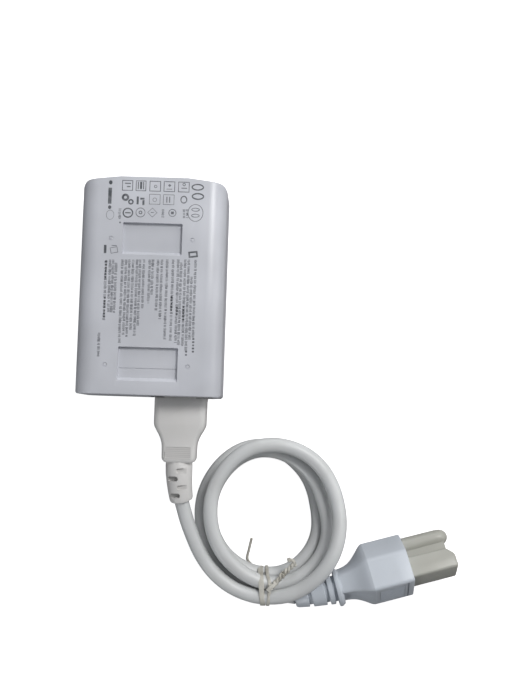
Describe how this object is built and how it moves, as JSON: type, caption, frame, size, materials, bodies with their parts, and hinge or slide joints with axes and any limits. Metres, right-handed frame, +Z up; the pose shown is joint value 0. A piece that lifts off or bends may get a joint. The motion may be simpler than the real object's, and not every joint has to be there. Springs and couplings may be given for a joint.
{
  "type": "power over ethernet injector",
  "caption": "Compact white power injector case with two network ports, a mains inlet and a tied, detachable mains lead with a three-pin plug.",
  "frame": {"origin": "under the middle of the case, on the surface that it rests on", "axes": "+Y towards the network ports, -Y towards the mains inlet, +Z up through the label face"},
  "size_m": [0.1693, 0.1851, 0.036],
  "materials": {
    "case_plastic": "satin white moulded plastic with a fine even texture",
    "lead_plastic": "soft white moulded PVC, satin",
    "cord_jacket": "smooth white PVC jacket, satin",
    "tie_plastic": "off-white plastic coated wire",
    "cover_plastic": "soft translucent grey-beige plastic",
    "black_plastic": "black moulded plastic",
    "lens_plastic": "clear moulded lens",
    "board_laminate": "green solder mask",
    "sheet_plastic": "thin insulating sheet",
    "tinned_metal": "tinned sheet metal",
    "pin_brass": "brass",
    "contact_gold": "gold plated spring contacts",
    "ferrite": "matt grey ferrite",
    "copper_winding": "enamelled copper winding",
    "tape_winding": "yellow insulating tape over the winding",
    "capacitor_sleeve": "dark printed sleeve over an aluminium can",
    "blue_coating": "dipped blue coating",
    "yellow_block": "moulded yellow block",
    "sink_aluminium": "bare folded aluminium",
    "led_body": "small surface-mounted lamp"
  },
  "bodies": {
    "injector": {"base_shell": "case_plastic", "label_shell": "case_plastic", "status_lens": "lens_plastic", "inlet_body": "black_plastic", "inlet_pin_line": "tinned_metal", "inlet_pin_neutral": "tinned_metal", "inlet_pin_earth": "tinned_metal", "jack_shield": "tinned_metal", "port_insert_data": "black_plastic", "port_contacts_data": "contact_gold", "port_insert_power": "black_plastic", "port_contacts_power": "contact_gold", "main_board": "board_laminate", "insulation_sheet": "sheet_plastic", "fuse": "black_plastic", "surge_disc": "blue_coating", "suppression_capacitor": "yellow_block", "bridge_rectifier": "black_plastic", "choke_core": "ferrite", "choke_winding": "copper_winding", "input_capacitor": "capacitor_sleeve", "heatsink": "sink_aluminium", "switch_transistor": "black_plastic", "transformer_core": "ferrite", "transformer_winding": "tape_winding", "output_capacitor_a": "capacitor_sleeve", "output_capacitor_b": "capacitor_sleeve", "bridging_capacitor": "blue_coating", "data_transformer": "black_plastic", "controller_chip": "black_plastic", "status_led": "led_body"},
    "mains_lead": {"connector_body": "lead_plastic", "connector_relief": "lead_plastic", "contact_sleeve_line": "pin_brass", "contact_sleeve_neutral": "pin_brass", "contact_sleeve_earth": "pin_brass", "lead_in_cord": "cord_jacket", "cord_coil": "cord_jacket", "lead_out_cord": "cord_jacket", "cord_tie": "tie_plastic", "plug_body": "lead_plastic", "plug_relief": "lead_plastic", "blade_line": "pin_brass", "blade_neutral": "pin_brass", "pin_earth": "pin_brass"},
    "cover": {"pin_cover": "cover_plastic"}
  },
  "joints": [
    {"name": "mains_lead_unplug", "type": "slide", "parent": "injector", "child": "mains_lead", "axis": [0, -1, 0], "range_m": [0, 0.03]},
    {"name": "pin_cover_pull", "type": "slide", "parent": "mains_lead", "child": "cover", "axis": [0.9613, 0.2756, 0], "range_m": [0, 0.03]}
  ]
}
